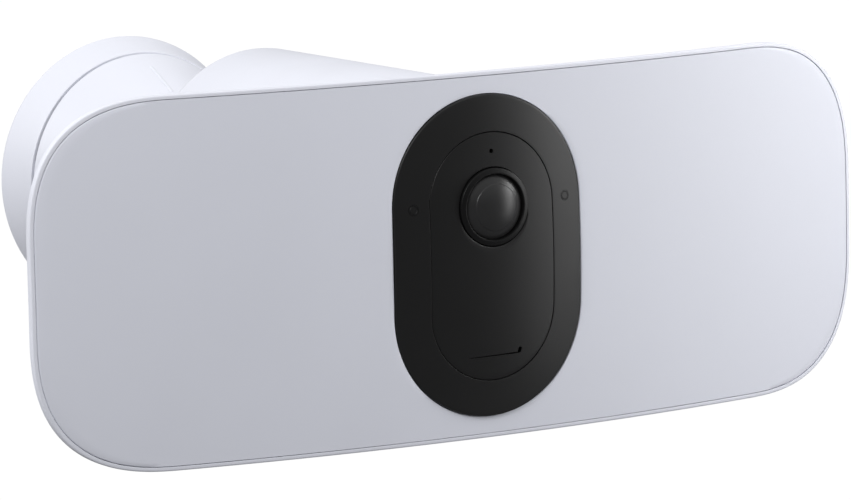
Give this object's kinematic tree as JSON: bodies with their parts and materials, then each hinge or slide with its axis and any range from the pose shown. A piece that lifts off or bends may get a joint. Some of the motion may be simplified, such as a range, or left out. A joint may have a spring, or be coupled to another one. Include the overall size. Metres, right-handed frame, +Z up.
{
  "type": "floodlight security camera",
  "caption": "Wall-mounted floodlight camera: wide bowed light panel with a black camera bezel, round battery housing, swivel joint and twist-lock wall mount.",
  "frame": {"origin": "centre of the wall face, on the mount's axis", "axes": "+Y into the wall, the light and camera look along -Y, +X to the viewer's right, +Z up"},
  "size_m": [0.3542, 0.2944, 0.136],
  "materials": {
    "shell_white": "fine satin moulded plastic, weatherproof white",
    "cover_grey": "matt translucent diffuser, pale cool grey",
    "bezel_black": "satin black",
    "face_black": "satin black, dark infrared-clear plastic",
    "lens_black": "gloss black",
    "lens_glass": "clear dark-tinted dome",
    "window_dark": "gloss dark window",
    "frame_black": "matt black moulded plastic",
    "button_white": "satin white",
    "rubber_black": "soft matt rubber",
    "screw_steel": "stainless",
    "bracket_steel": "zinc-plated sheet",
    "cast_alloy": "painted die-cast alloy",
    "heat_alloy": "bare sheet",
    "board_green": "solder mask",
    "led_yellow": "phosphor",
    "contact_brass": "plated",
    "battery_grey": "fine grained dark grey"
  },
  "bodies": {
    "wall_mount": {"mount_base": "shell_white", "wall_bracket": "bracket_steel", "wall_gasket": "rubber_black", "bracket_screws": "screw_steel", "security_screw": "screw_steel"},
    "mount_arm": {"mount_cap": "shell_white", "tilt_fork": "cast_alloy", "fork_screws": "screw_steel"},
    "swivel": {"swivel_ball": "cast_alloy", "tilt_bolt": "screw_steel", "tilt_nut": "screw_steel", "pan_pins": "screw_steel", "tilt_washers": "contact_brass", "pan_washers": "contact_brass"},
    "housing": {"battery_housing": "shell_white", "pan_yoke": "cast_alloy", "yoke_screws": "screw_steel", "button_guide": "frame_black", "release_spring": "screw_steel"},
    "release_button": {"release_button": "button_white"},
    "port_cover": {"port_cover": "rubber_black"},
    "sync_button": {"sync_button": "button_white"},
    "light_head": {"rear_shell": "shell_white", "light_cover": "cover_grey", "cover_gasket": "rubber_black", "shell_screws": "screw_steel", "led_board_left": "board_green", "led_board_right": "board_green", "leds_left": "led_yellow", "leds_right": "led_yellow", "heat_spreader_left": "heat_alloy", "heat_spreader_right": "heat_alloy", "camera_bezel": "bezel_black", "camera_face": "face_black", "lens_ring": "lens_black", "lens_dome": "lens_glass", "lens_barrel": "lens_black", "image_board": "board_green", "side_windows": "window_dark", "infrared_leds": "window_dark", "pir_sensor": "screw_steel", "microphone": "screw_steel", "speaker": "frame_black", "siren": "frame_black", "main_board": "board_green", "bezel_screws": "screw_steel", "antennas": "contact_brass", "battery_cradle": "frame_black", "contact_block": "frame_black", "battery_pack": "battery_grey", "battery_contacts": "contact_brass", "neck_seal": "rubber_black", "charge_port": "frame_black", "port_pins": "contact_brass", "sync_switch": "frame_black"}
  },
  "joints": [
    {"name": "mount_twist", "type": "hinge", "parent": "wall_mount", "child": "mount_arm", "pos_m": [0, -0.017, 0], "axis": [0, 1, 0], "range_deg": [-32, 0]},
    {"name": "head_tilt", "type": "hinge", "parent": "mount_arm", "child": "swivel", "pos_m": [0, -0.088, 0], "axis": [1, 0, 0], "range_deg": [-40, 40]},
    {"name": "head_pan", "type": "hinge", "parent": "swivel", "child": "housing", "pos_m": [0, -0.088, 0], "axis": [0, 0, 1], "range_deg": [-40, 40]},
    {"name": "head_slide", "type": "slide", "parent": "housing", "child": "light_head", "axis": [0, -1, 0], "range_m": [0, 0.118]},
    {"name": "release_press", "type": "slide", "parent": "housing", "child": "release_button", "axis": [0, 0, 1], "range_m": [0, 0.002], "stiffness_N_per_m": 800, "springref_m": -0.003, "deforming": ["release_spring"]},
    {"name": "sync_press", "type": "slide", "parent": "light_head", "child": "sync_button", "axis": [0, -1, 0], "range_m": [0, 0.0012], "stiffness_N_per_m": 1500, "springref_m": -0.001},
    {"name": "port_cover_swing", "type": "hinge", "parent": "light_head", "child": "port_cover", "pos_m": [0, -0.2526, -0.04365], "axis": [1, 0, 0], "range_deg": [0, 100]}
  ]
}
